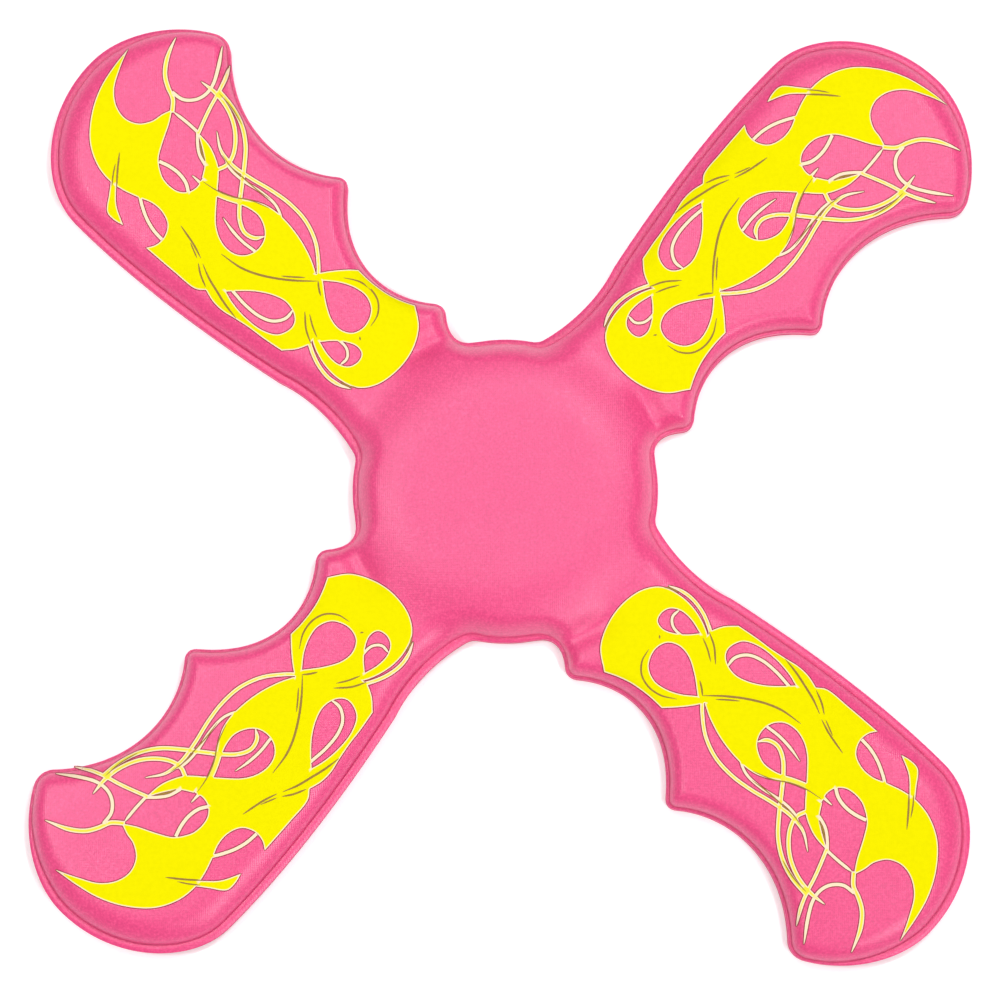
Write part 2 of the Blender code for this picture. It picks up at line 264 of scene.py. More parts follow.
def net(rings, every, grid, first=0.0, first_share=0.0, clear=0.45):
    """Points and triangles over the outline, or over the part of it inside the first ring."""
    edge = ring(first, every, first_share)
    pts = [edge]
    for share, depth in rings:
        pts.append(ring(depth, every, share))
    held = np.concatenate(pts)
    deepest = max(depth for share, depth in rings)
    rows = int(130 / (grid * 0.866)) + 1
    cols = int(130 / grid) + 1
    mesh = np.array([((i + 0.5 * (j % 2)) * grid, j * grid * 0.866)
                     for j in range(-rows, rows + 1) for i in range(-cols, cols + 1)])
    mesh = mesh[inside(mesh, FINE[::2])]
    d, rim, _ = to_edge(mesh)
    mesh = mesh[d > rim + deepest + grid * clear]
    tree = KDTree(len(held))
    for i, p in enumerate(held):
        tree.insert((p[0], p[1], 0.0), i)
    tree.balance()
    far = np.array([tree.find((x, y, 0.0))[2] > grid * clear for x, y in mesh])
    every_point = np.concatenate([held, mesh[far]])
    v, _, f, _, _, _ = delaunay_2d_cdt([Vector(p) for p in every_point], [],
                                       [list(range(len(edge)))], 1, 1e-5)
    return np.array([tuple(p) for p in v]), [tuple(t) for t in f]


# ------------------------------------------------------------------ objects
def layer(name, pts, tris, top, bottom, attributes=None, smooth=40):
    """A closed layer between two heights over the same net (mm)."""
    n = len(pts)
    v = np.concatenate([np.column_stack([pts, top]), np.column_stack([pts, bottom])]) * MM
    tris = np.array(tris)
    a, b, c = pts[tris[:, 0]], pts[tris[:, 1]], pts[tris[:, 2]]
    ccw = ((b - a)[:, 0] * (c - a)[:, 1] - (b - a)[:, 1] * (c - a)[:, 0]) > 0
    tris = np.where(ccw[:, None], tris, tris[:, ::-1])
    edges = np.concatenate([tris[:, [0, 1]], tris[:, [1, 2]], tris[:, [2, 0]]])
    key = set(map(tuple, edges.tolist()))
    rim = [(i, j) for i, j in key if (j, i) not in key]
    faces = tris.tolist() + (tris[:, ::-1] + n).tolist() + [(i, i + n, j + n, j) for i, j in sorted(rim)]
    me = bpy.data.meshes.new(name)
    me.from_pydata(v.tolist(), [], faces)
    me.update()
    bm = bmesh.new()
    bm.from_mesh(me)
    loose = [x for x in bm.verts if not x.link_faces]
    if attributes is None and loose:
        bmesh.ops.delete(bm, geom=loose, context="VERTS")
        bm.to_mesh(me)
    bm.free()
    for key, values in (attributes or {}).items():
        att = me.attributes.new(key, "FLOAT", "POINT")
        att.data.foreach_set("value", np.concatenate([values, values]).astype(np.float32))
    me.shade_smooth()
    me.set_sharp_from_angle(angle=math.radians(smooth))
    obj = bpy.data.objects.new(name, me)
    bpy.context.scene.collection.objects.link(obj)
    return obj


def used_only(pts, tris, *arrays):
    """Drops the points that no triangle uses."""
    tris = np.array(tris)
    keep = np.unique(tris)
    back = np.full(len(pts), -1)
    back[keep] = np.arange(len(keep))
    return (pts[keep], back[tris]) + tuple(a[keep] for a in arrays)


# ------------------------------------------------------------------ the flame print, in blade coordinates (mm)
def smooth_run(points, step):
    """A centripetal Catmull-Rom curve through the points, open."""
    p = [np.array(q, float) for q in points]
    p = [2 * p[0] - p[1]] + p + [2 * p[-1] - p[-2]]
    out = []
    for i in range(1, len(p) - 2):
        p0, p1, p2, p3 = p[i - 1:i + 3]
        t0 = 0.0
        t1 = t0 + max(np.linalg.norm(p1 - p0), 1e-6) ** 0.5
        t2 = t1 + max(np.linalg.norm(p2 - p1), 1e-6) ** 0.5
        t3 = t2 + max(np.linalg.norm(p3 - p2), 1e-6) ** 0.5
        n = max(1, int(round(np.linalg.norm(p2 - p1) / step)))
        for t in np.linspace(t1, t2, n + 1)[:-1]:
            a1 = (t1 - t) / (t1 - t0) * p0 + (t - t0) / (t1 - t0) * p1
            a2 = (t2 - t) / (t2 - t1) * p1 + (t - t1) / (t2 - t1) * p2
            a3 = (t3 - t) / (t3 - t2) * p2 + (t - t2) / (t3 - t2) * p3
            b1 = (t2 - t) / (t2 - t0) * a1 + (t - t0) / (t2 - t0) * a2
            b2 = (t3 - t) / (t3 - t1) * a2 + (t - t1) / (t3 - t1) * a3
            out.append((t2 - t) / (t2 - t1) * b1 + (t - t1) / (t2 - t1) * b2)
    out.append(p[-2])
    return out


def closed_shape(points, step=0.5):
    """A closed outline. A point with a third value is a sharp corner."""
    corners = [i for i, p in enumerate(points) if len(p) > 2]
    xy = [p[:2] for p in points]
    if not corners:
        k = 3
        run = smooth_run(xy[-k:] + xy + xy[:k], step)
        start = min(range(len(run) // 2), key=lambda i: np.linalg.norm(run[i] - np.array(xy[0])))
        end = len(run) - 1 - min(range(len(run) // 2),
                                 key=lambda i: np.linalg.norm(run[::-1][i] - np.array(xy[0])))
        out = run[start:end]
    else:
        out = []
        xy = xy[corners[0]:] + xy[:corners[0]] + [xy[corners[0]]]
        at = [c - corners[0] for c in corners] + [len(points)]
        for a, b in zip(at[:-1], at[1:]):
            out += smooth_run(xy[a:b + 1], step)[:-1]
    out = np.array(out)
    x, y = out[:, 0], out[:, 1]
    if (x * np.roll(y, -1) - np.roll(x, -1) * y).sum() < 0:
        out = out[::-1]
    return out


def stroke(points, width, start=0.15, end=0.15, step=0.6, tip=0.12):
    """A ribbon along a smooth line, thinning towards its ends over the given shares of its length."""
    line = np.array(smooth_run(points, step))
    s = np.concatenate([[0], np.cumsum(np.hypot(*np.diff(line, axis=0).T))])
    u = s / s[-1]
    w = np.ones(len(u))
    if start:
        w = np.minimum(w, tip + (1 - tip) * np.clip(u / start, 0, 1) ** 0.7)
    if end:
        w = np.minimum(w, tip + (1 - tip) * np.clip((1 - u) / end, 0, 1) ** 0.7)
    t = np.gradient(line, axis=0)
    t /= np.linalg.norm(t, axis=1)[:, None]
    nrm = np.stack([-t[:, 1], t[:, 0]], 1) * (w * width / 2)[:, None]
    return np.concatenate([line - nrm, (line + nrm)[::-1]])


SOLID = [
    # the round root of the flame
    [(52.4, -16.0, 1), (47.3, -12.3), (44.4, -7.0), (43.2, -0.5), (44.2, 6.0), (47.2, 10.3), (52.0, 12.2),
     (57.0, 12.4), (62.0, 11.2), (66.5, 8.9), (71.0, 6.0), (75.0, 2.6), (77.6, -1.6, 1), (75.6, -5.0),
     (73.0, -8.4), (69.7, -12.1, 1), (65.5, -12.2), (60.0, -13.0), (56.0, -14.3)],
    # the long body with its crest, the hooked tip and the waist
    [(64.4, 11.0, 1), (66.0, 14.4), (68.7, 17.5, 1), (74.0, 18.5), (79.0, 19.2), (83.5, 20.1, 1), (87.5, 21.0),
     (91.0, 21.0), (94.3, 20.2, 1), (96.6, 21.9), (104.0, 22.7), (113.7, 23.4, 1), (112.4, 21.2), (112.2, 18.2),
     (113.9, 15.1), (117.4, 13.7), (121.0, 13.9), (125.0, 15.5), (129.5, 17.0), (134.0, 17.6), (139.0, 16.8),
     (144.5, 13.9), (149.5, 8.3), (152.8, 2.0), (154.6, -4.5), (155.8, -11.2, 1), (153.0, -5.6), (150.0, -0.6),
     (146.3, 2.2), (142.3, 2.9), (138.8, 1.4), (136.7, -1.8), (136.2, -4.6), (135.2, -7.6, 1), (133.0, -4.3),
     (130.4, 0.8), (128.3, 4.2), (126.4, 5.8, 1), (123.8, 7.1), (121.0, 7.4), (118.2, 6.8), (116.3, 5.1),
     (115.6, 2.6), (116.2, -0.2, 1), (111.6, -1.4, 1), (108.5, 2.2), (104.8, 6.0), (101.5, 7.9), (98.0, 8.5), (95.0, 7.7),
     (93.0, 5.6), (92.3, 2.9), (92.9, 0.1), (94.7, -2.0), (98.2, -3.5), (101.5, -3.2), (105.0, -1.9, 1),
     (101.0, -6.1), (97.0, -7.5), (92.0, -7.7), (86.0, -6.9), (80.5, -5.2), (77.0, -3.5, 1), (74.0, -0.6),
     (70.5, 2.4), (66.5, 6.0)],
    # the short leaf under the body
    [(116.4, -0.2, 1), (118.6, -3.4), (121.6, -5.6), (126.2, -8.1, 1), (121.0, -7.7), (117.0, -6.2),
     (114.8, -4.9, 1), (113.0, -3.0), (111.4, -1.1, 1)],
    # the sickle over the tip
    [(122.3, 23.4, 1), (125.0, 24.1), (127.8, 23.9), (130.8, 20.2), (134.2, 15.6), (137.2, 10.6, 1),
     (133.6, 14.4), (130.4, 18.0), (127.2, 21.0)],
]
HOLES = [
    [(52.2, 5.4), (52.9, 7.9), (55.4, 9.5), (59.0, 9.7), (63.0, 8.8, 1), (60.8, 6.2), (58.4, 4.2), (55.4, 2.8),
     (53.0, 3.3)],
    [(57.7, -2.5), (58.6, 0.9), (61.4, 2.6), (65.0, 2.4), (69.2, 0.3), (74.1, -3.3, 1), (70.4, -6.2),
     (66.5, -8.0), (63.0, -8.4), (59.5, -6.7)],
    [(71.1, 11.8), (72.4, 15.2), (76.3, 17.3), (82.0, 18.0), (87.0, 17.6), (90.2, 16.8, 1), (88.2, 14.6),
     (84.6, 11.2), (80.6, 8.7), (77.0, 7.6), (73.6, 8.2), (71.6, 9.8)],
]
LINES = [
    # points, width, share of the length that thins at the start and at the end
    ([(48.4, 11.9), (51.5, 13.3), (55.0, 13.9), (59.4, 13.3), (64.0, 11.4), (68.4, 8.6)], 0.85, 0.2, 0.0),
    ([(54.9, 9.4), (54.9, 6.8), (56.8, 5.1), (60.0, 5.0), (61.4, 5.6)], 0.62, 0.1, 0.0),
    ([(74.2, 7.4), (73.9, 10.6), (75.8, 13.6), (79.3, 15.2), (84.0, 15.7), (89.2, 15.4)], 0.72, 0.1, 0.0),
    ([(71.0, 0.6), (74.6, -2.2), (78.3, -5.8), (83.0, -9.3), (88.8, -11.4), (95.0, -11.7), (101.0, -10.8),
      (107.0, -9.3), (113.0, -8.3), (118.0, -8.9), (122.6, -11.8)], 0.85, 0.0, 0.14),
    ([(93.0, -7.2), (97.4, -8.8), (102.5, -8.6), (108.5, -7.3), (113.0, -7.2), (116.0, -8.2)], 0.62, 0.1, 0.1),
    ([(92.4, 3.8), (96.6, 4.3), (100.8, 4.1), (104.8, 3.4)], 0.68, 0.0, 0.35),
    ([(93.4, -0.8), (95.0, 1.4), (97.9, 2.2), (101.0, 0.9), (104.0, -1.9), (107.0, -5.6), (110.6, -10.2),
      (114.6, -14.6), (119.4, -17.8), (124.5, -19.5), (130.4, -20.0)], 0.95, 0.05, 0.0),
    ([(96.0, -6.9), (101.0, -5.3), (105.0, -2.6), (109.0, -0.6), (113.4, 0.8), (118.6, 1.2)], 1.3, 0.0, 0.35),
    ([(115.0, -4.8), (114.2, -7.2), (114.8, -10.0), (117.0, -13.2), (120.6, -16.2), (125.2, -18.2),
      (130.2, -18.9), (135.2, -18.4)], 0.95, 0.0, 0.15),
    ([(125.6, -7.8), (127.3, -12.0), (128.6, -15.5), (129.8, -19.4), (131.4, -23.2), (134.0, -27.4)], 0.82, 0.0, 0.2),
    ([(138.6, -10.9), (135.2, -11.5), (132.8, -13.8), (131.9, -16.6), (132.4, -19.9), (134.6, -23.9),
      (138.6, -29.4)], 0.78, 0.0, 0.2),
    ([(134.6, -7.0), (137.2, -9.8), (140.2, -11.0), (143.2, -12.8), (146.0, -16.2), (148.8, -22.2)], 1.0, 0.0, 0.3),
    ([(118.2, -3.2), (121.5, -4.2), (124.2, -6.2), (126.2, -8.2)], 0.7, 0.0, 0.0),
    ([(125.6, -8.1), (130.0, -7.9), (134.4, -7.4)], 0.7, 0.0, 0.2),
    ([(116.0, 5.2), (118.4, 3.8), (121.5, 3.3), (124.6, 3.7), (127.6, 4.7)], 0.8, 0.0, 0.0),
    ([(112.2, 18.9), (115.5, 18.7), (119.0, 17.8), (122.6, 16.1), (124.4, 15.0)], 0.75, 0.0, 0.0),
]
SLITS = [
    # thin dark lines that part one lick of the flame from the next
    ([(47.6, 10.6), (49.6, 11.9), (51.6, 12.5)], 0.30),
    ([(64.4, 10.8), (68.0, 9.0), (70.8, 6.6), (71.6, 5.9)], 0.34),
    ([(64.4, 8.5), (67.4, 7.2), (70.2, 5.5)], 0.30),
    ([(56.5, -3.6), (57.4, -7.0), (59.8, -9.6), (63.2, -10.6), (67.0, -10.0), (70.8, -7.7)], 0.34),
    ([(55.8, 1.0), (56.6, 0.4)], 0.34),
    ([(71.6, 0.0), (73.4, -1.1), (75.0, -2.4)], 0.34),
    ([(75.0, -2.2), (79.0, 1.6), (83.6, 5.2), (88.0, 7.9), (92.2, 9.6), (98.2, 10.6)], 0.42),
    ([(78.0, -0.6), (80.4, 1.6), (82.8, 3.6)], 0.30),
    ([(83.4, 19.9), (88.0, 19.3), (92.0, 18.4), (96.0, 17.4), (99.8, 15.9)], 0.40),
    ([(94.9, 19.7), (98.2, 18.3), (100.8, 16.6)], 0.34),
    ([(101.2, 15.2), (105.0, 14.0), (111.2, 12.8)], 0.36),
    ([(102.0, 15.9), (104.2, 15.0), (106.2, 14.2)], 0.26),
    ([(130.6, 17.6), (133.6, 14.3), (136.8, 10.4)], 0.36),
    ([(131.8, 18.2), (133.8, 15.7), (135.4, 13.3)], 0.26),
    ([(119.0, -4.0), (121.4, -5.0), (123.6, -6.6)], 0.34),
    ([(98.0, -7.0), (103.0, -5.0), (107.0, -2.3), (111.0, -0.6), (115.6, 0.4)], 0.24),
    ([(99.4, -8.9), (104.0, -8.2), (109.0, -7.9), (113.4, -7.7), (117.0, -8.3)], 0.24),
    ([(119.6, -18.0), (124.6, -19.2), (129.6, -19.5)], 0.22),
]
HALO = 0.40
# width of the painted shadow along the print's border
SHADE = 0.24         # a thin dark line around the ink
STOUT = 0.8          # pinstripes wider than this have a yellow middle
PRINT_SHIFTS = [(0.35, 0.35, 0.45), (-1.15, -1.5, 0.15), (-2.75, -0.5, -0.35), (0.0, 0.0, 0.0)]
PRINT_PIVOT = 100.0


def ink_area():
    """Points and triangles of the whole print, with 0 at its borders and 1 where the ink is full, and the strip of
    painted shadow round it.
    """
    verts, faces, kind = [], [], []
    for shapes, what in ((SOLID, "solid"), (HOLES, "hole")):
        for s in shapes:
            loop = closed_shape(s)
            faces.append(list(range(len(verts), len(verts) + len(loop))))
            verts += [Vector(p) for p in loop]
            kind.append(what)
    for points, width, a, b in LINES:
        loop = stroke(points, width * (1.2 if width > STOUT else 1.12), a, b)
        faces.append(list(range(len(verts), len(verts) + len(loop))))
        verts += [Vector(p) for p in loop]
        kind.append("line")
    v, _, f, _, _, of = delaunay_2d_cdt(verts, [], faces, 1, 1e-4)
    v = np.array([tuple(p) for p in v])
    ink = []
    for tri, member in zip(f, of):
        kinds = {kind[m] for m in member}
        if "line" in kinds or ("solid" in kinds and "hole" not in kinds):
            ink.append(tri)
    ink = np.array(ink)
    a, b, c = v[ink[:, 0]], v[ink[:, 1]], v[ink[:, 2]]
    ccw = ((b - a)[:, 0] * (c - a)[:, 1] - (b - a)[:, 1] * (c - a)[:, 0]) > 0
    ink = np.where(ccw[:, None], ink, ink[:, ::-1])
    edges = np.concatenate([ink[:, [0, 1]], ink[:, [1, 2]], ink[:, [2, 0]]])
    key = set(map(tuple, edges.tolist()))
    border = sorted((i, j) for i, j in key if (j, i) not in key)
    # points just inside the border, and a net over the rest
    mid = np.array([(v[i] + v[j]) / 2 for i, j in border])
    run = np.array([v[j] - v[i] for i, j in border])
    inward = np.stack([-run[:, 1], run[:, 0]], 1) / np.maximum(np.linalg.norm(run, axis=1), 1e-9)[:, None]
    inner = mid + inward * HALO
    ends = sorted({i for e in border for i in e})
    tree = KDTree(len(border) * 3)
    count = 0
    for i, j in border:
        for t in (0.0, 0.34, 0.67):
            p = v[i] * (1 - t) + v[j] * t
            tree.insert((p[0], p[1], 0.0), count)
            count += 1
    tree.balance()
    inner = np.array([p for p in inner if tree.find((p[0], p[1], 0.0))[2] > HALO * 0.93])
    grid = np.array([(i * 0.95 + 0.475 * (j % 2), j * 0.82) for j in range(-42, 36) for i in range(42, 168)])
    grid = np.array([p for p in grid if tree.find((p[0], p[1], 0.0))[2] > HALO * 2.1])
    grid = grid[inside_edges(grid, v, border)]
    inner = inner[inside_edges(inner, v, border)]
    keep = []
    seen = {}
    for p in inner:   # thin out the inner points that crowd each other
        cell = (int(p[0] // 0.3), int(p[1] // 0.3))
        if cell not in seen:
            seen[cell] = 1
            keep.append(p)
    inner = np.array(keep)
    order = {e: n for n, e in enumerate(ends)}
    pts = np.concatenate([v[ends], inner, grid])
    lines = [(order[i], order[j]) for i, j in border]
    v2, _, f2, ov, _, _ = delaunay_2d_cdt([Vector(p) for p in pts], lines, [], 0, 1e-5)
    v2 = np.array([tuple(p) for p in v2])
    full = np.array([1.0 if o and min(o) >= len(ends) else 0.0 for o in ov])
    wide = np.zeros(len(v2), dtype=bool)
    for shape in SOLID:
        wide |= inside(v2, closed_shape(shape))
    for shape in HOLES:
        wide &= ~inside(v2, closed_shape(shape))
    stout = np.zeros(len(v2), dtype=bool)
    for points, width, a, b in LINES:
        if width > STOUT:
            stout |= inside(v2, stroke(points, width * 1.2, a, b))
    full = full * np.where(wide, 1.0, np.where(stout, 0.8, 0.45))
    f2 = np.array([tuple(t) for t in f2 if len(t) == 3])
    middle = v2[f2].mean(1)
    f2 = f2[inside_edges(middle, v, border)]
    area = np.abs(np.cross(v2[f2[:, 1]] - v2[f2[:, 0]], v2[f2[:, 2]] - v2[f2[:, 0]]))
    f2 = f2[area > 1e-7]
    # the thin band of painted shadow around it
    push = {i: np.zeros(2) for i in ends}
    for (i, j), out in zip(border, -inward):
        push[i] += out
        push[j] += out
    far = {i: v[i] + d / max(np.linalg.norm(d), 0.6) * SHADE for i, d in push.items()}
    shadow_pts = np.array([v[i] for i in ends] + [far[i] for i in ends])
    m = len(ends)
    shadow_tris = []
    for i, j in border:
        a, b = order[i], order[j]
        shadow_tris += [(a, a + m, b + m), (a, b + m, b)]
    return used_only(v2, f2, full) + (shadow_pts, np.array(shadow_tris))


def inside_edges(points, v, edges):
    hit = np.zeros(len(points), dtype=bool)
    x, y = points[:, 0], points[:, 1]
    for i, j in edges:
        (x0, y0), (x1, y1) = v[i], v[j]
        if y0 != y1:
            hit ^= ((y0 > y) != (y1 > y)) & (x < (x1 - x0) * (y - y0) / (y1 - y0) + x0)
    return hit


def slit_area():
    verts, faces = [], []
    for points, width in SLITS:
        loop = stroke(points, width * 1.4, 0.25, 0.25, 0.6, 0.2)
        faces.append(list(range(len(verts), len(verts) + len(loop))))
        verts += [Vector(p) for p in loop]
    v, _, f, _, _, _ = delaunay_2d_cdt(verts, [], faces, 1, 1e-4)
    return used_only(np.array([tuple(p) for p in v]), np.array([tuple(t) for t in f]))


def placed(points, k):
    along, across, degrees = PRINT_SHIFTS[k]
    c, s = math.cos(math.radians(degrees)), math.sin(math.radians(degrees))
    x, y = points[:, 0] - PRINT_PIVOT, points[:, 1]
    return spin(np.stack([c * x - s * y + PRINT_PIVOT + along, s * x + c * y + across], 1), k)


# ------------------------------------------------------------------ materials
def new_material(name):
    mat = bpy.data.materials.new(name)
    mat.use_nodes = True
    return mat, mat.node_tree, mat.node_tree.nodes["Principled BSDF"]


def add(tree, kind, **values):
    node = tree.nodes.new(kind)
    for key, value in values.items():
        if key in node.inputs:
            node.inputs[key].default_value = value
        else:
            setattr(node, key, value)
    return node


def object_coords(tree):
    return add(tree, "ShaderNodeTexCoord").outputs["Object"]


def noise_node(tree, coords, scale, detail=2.0, rough=0.5):
    node = add(tree, "ShaderNodeTexNoise", Scale=scale, Detail=detail, Roughness=rough)
    tree.links.new(coords, node.inputs["Vector"])
    return node.outputs["Fac"]


def ramp(tree, value, stops):
    node = tree.nodes.new("ShaderNodeValToRGB")
    tree.links.new(value, node.inputs["Fac"])
    el = node.color_ramp.elements
    while len(el) < len(stops):
        el.new(0.5)
    for e, (pos, color) in zip(el, stops):
        e.position = pos
        e.color = (*color, 1.0)
    return node.outputs["Color"]


def mix(tree, kind, fac, a, b):
    node = tree.nodes.new("ShaderNodeMix")
    node.data_type = "RGBA"
    node.blend_type = kind
    for socket, value in ((node.inputs[0], fac), (node.inputs[6], a), (node.inputs[7], b)):
        if isinstance(value, (int, float)):
            socket.default_value = value
        elif isinstance(value, tuple):
            socket.default_value = (*value, 1.0)
        else:
            tree.links.new(value, socket)
    return node.outputs[2]


def math_node(tree, op, a, b=None):
    node = tree.nodes.new("ShaderNodeMath")
    node.operation = op
    for socket, value in zip(node.inputs, (a, b)):
        if value is None:
            continue
        if isinstance(value, (int, float)):
            socket.default_value = value
        else:
            tree.links.new(value, socket)
    return node.outputs[0]


def knit_relief(tree, coords, pitch=0.00052, depth=0.00010, strength=0.5):
    """Fine jersey: wales and courses, slightly uneven, with fuzz."""
    warp = add(tree, "ShaderNodeTexNoise", Scale=260.0, Detail=2.0)
    tree.links.new(coords, warp.inputs["Vector"])
    shift = tree.nodes.new("ShaderNodeVectorMath")
    shift.operation = "SCALE"
    tree.links.new(warp.outputs["Color"], shift.inputs[0])
    shift.inputs["Scale"].default_value = pitch * 1.1
    moved = tree.nodes.new("ShaderNodeVectorMath")
    moved.operation = "ADD"
    tree.links.new(coords, moved.inputs[0])
    tree.links.new(shift.outputs[0], moved.inputs[1])
    waves = []
    for direction, p in (("X", pitch), ("Y", pitch * 0.82)):
        w = tree.nodes.new("ShaderNodeTexWave")
        w.wave_type = "BANDS"
        w.bands_direction = direction
        w.inputs["Scale"].default_value = 0.31416 / p
        w.inputs["Distortion"].default_value = 0.0
        tree.links.new(moved.outputs[0], w.inputs["Vector"])
        waves.append(w.outputs["Fac"])
    loops = math_node(tree, "MULTIPLY", waves[0], waves[1])
    fuzz = noise_node(tree, coords, 2600.0, 3.0, 0.6)
    height = math_node(tree, "ADD", math_node(tree, "MULTIPLY", loops, 0.7), math_node(tree, "MULTIPLY", fuzz, 0.6))
    bump = add(tree, "ShaderNodeBump", Strength=strength, Distance=depth)
    tree.links.new(height, bump.inputs["Height"])
    return bump.outputs["Normal"], height


def knit_material(name, body, light, dark, crease=True):
    mat, tree, bsdf = new_material(name)
    coords = object_coords(tree)
    fine = noise_node(tree, coords, 1500.0, 2.0, 0.6)
    grain = ramp(tree, fine, [(0.30, tuple(c * 0.88 for c in body)), (0.5, body), (0.72, light)])
    soft = noise_node(tree, coords, 45.0, 2.0, 0.5)
    col = mix(tree, "MIX", math_node(tree, "MULTIPLY", soft, 0.22), grain, light)
    if crease:
        # painted shade: the knit is darkened along the rim's groove, by the groove weight stored on the cover
        att = tree.nodes.new("ShaderNodeAttribute")
        att.attribute_name = "crease"
        col = mix(tree, "MIX", math_node(tree, "MULTIPLY", att.outputs["Fac"], 0.34), col, dark)
    tree.links.new(col, bsdf.inputs["Base Color"])
    normal, _ = knit_relief(tree, coords)
    tree.links.new(normal, bsdf.inputs["Normal"])
    bsdf.inputs["Roughness"].default_value = 0.35
    bsdf.inputs["Specular IOR Level"].default_value = 0.75
    bsdf.inputs["Specular Tint"].default_value = (1.0, 0.88, 0.93, 1.0)
    bsdf.inputs["Sheen Weight"].default_value = 0.015
    bsdf.inputs["Sheen Roughness"].default_value = 0.45
    bsdf.inputs["Sheen Tint"].default_value = (1.0, 0.80, 0.87, 1.0)
    return mat


def foam_material(name, color):
    mat, tree, bsdf = new_material(name)
    coords = object_coords(tree)
    cells = add(tree, "ShaderNodeTexVoronoi", Scale=2600.0)
    tree.links.new(coords, cells.inputs["Vector"])
    tone = noise_node(tree, coords, 300.0, 3.0)
    col = ramp(tree, tone, [(0.3, tuple(c * 0.88 for c in color)), (0.7, color)])
    tree.links.new(col, bsdf.inputs["Base Color"])
    bump = add(tree, "ShaderNodeBump", Strength=0.35, Distance=0.0001)
    tree.links.new(cells.outputs["Distance"], bump.inputs["Height"])
    tree.links.new(bump.outputs["Normal"], bsdf.inputs["Normal"])
    bsdf.inputs["Roughness"].default_value = 0.85
    bsdf.inputs["Specular IOR Level"].default_value = 0.25
    return mat


def film_material(name):
    mat, tree, bsdf = new_material(name)
    coords = object_coords(tree)
    tone = noise_node(tree, coords, 180.0, 3.0)
    tree.links.new(ramp(tree, tone, [(0.3, (0.70, 0.62, 0.52)), (0.7, (0.84, 0.78, 0.68))]),
                   bsdf.inputs["Base Color"])
    bump = add(tree, "ShaderNodeBump", Strength=0.2, Distance=0.00005)
    tree.links.new(noise_node(tree, coords, 900.0, 2.0), bump.inputs["Height"])
    tree.links.new(bump.outputs["Normal"], bsdf.inputs["Normal"])
    bsdf.inputs["Roughness"].default_value = 0.4
    return mat


def print_material(name, full, pale):
    """Opaque ink over the knit: the relief of the fabric shows through, and the border is thin and pale."""
    mat, tree, bsdf = new_material(name)
    coords = object_coords(tree)
    att = tree.nodes.new("ShaderNodeAttribute")
    att.attribute_name = "full"
    tone = noise_node(tree, coords, 900.0, 2.0)
    ink = ramp(tree, tone, [(0.3, tuple(c * 0.965 for c in full)), (0.6, full)])
    edge = ramp(tree, att.outputs["Fac"], [(0.38, (0, 0, 0)), (0.85, (1, 1, 1))])
    tree.links.new(mix(tree, "MIX", edge, pale, ink), bsdf.inputs["Base Color"])
    normal, _ = knit_relief(tree, coords, strength=0.16)
    tree.links.new(normal, bsdf.inputs["Normal"])
    bsdf.inputs["Roughness"].default_value = 0.75
    bsdf.inputs["Specular IOR Level"].default_value = 0.0
    return mat


# flat colour with a little tone noise, for the dark ink in the gaps of the print and for the painted shadow round it
def plain_ink_and_shadow(name, color):
    mat, tree, bsdf = new_material(name)
    coords = object_coords(tree)
    tone = noise_node(tree, coords, 1200.0, 2.0)
    tree.links.new(ramp(tree, tone, [(0.3, tuple(c * 0.8 for c in color)), (0.7, color)]),
                   bsdf.inputs["Base Color"])
    bsdf.inputs["Roughness"].default_value = 0.6
    bsdf.inputs["Specular IOR Level"].default_value = 0.2
    return mat


PINK = (0.75, 0.048, 0.195)
PINK_LIGHT = (0.86, 0.086, 0.250)
# shade colour painted into the rim's groove of the knit
PINK_CREASE_SHADE = (0.40, 0.016, 0.075)
knit = knit_material("knit_pink", PINK, PINK_LIGHT, PINK_CREASE_SHADE)
knit_below = knit_material("knit_pink_below", PINK, PINK_LIGHT, PINK_CREASE_SHADE)
foam = foam_material("moulded_foam", (0.88, 0.26, 0.38))
foam_sheet = foam_material("foam_sheet", (0.86, 0.22, 0.35))
film = film_material("bond_film")
yellow = print_material("yellow_ink", (0.79, 0.72, 0.001), (0.86, 0.70, 0.50))
olive = plain_ink_and_shadow("ink_gap", (0.34, 0.20, 0.03))
# painted shadow: a dark pink band laid on the fabric along the ink's border
shade = plain_ink_and_shadow("painted_print_shadow", (0.30, 0.035, 0.05))


def piece(obj, mat, slot, *nodes):
    obj.data.materials.append(mat)
    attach(obj, "root")
    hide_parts(*nodes)
    return obj


# ------------------------------------------------------------------ the fabric cover and what is under it
pts, tris = net([(0.3, 0.0), (0.62, 0.0), (1.0, -0.18), (1.0, 0.0), (1.0, 0.18), (1.0, 0.42), (1.0, 0.8),
                 (1.0, 1.4), (1.0, 2.2), (1.0, 3.1)], 2, GRID)
# the groove weight from form() goes onto the cover, where it paints shade into the knit
top, crease, depth = form(pts)
cover = piece(layer("top_cover_knit", pts, tris, top, top - COVER, {"crease": crease}), knit,
              "pink_knit", "top_cover")
surface = BVHTree.FromPolygons([(x, y, z) for (x, y), z in zip(pts, top)], [tuple(t) for t in tris])

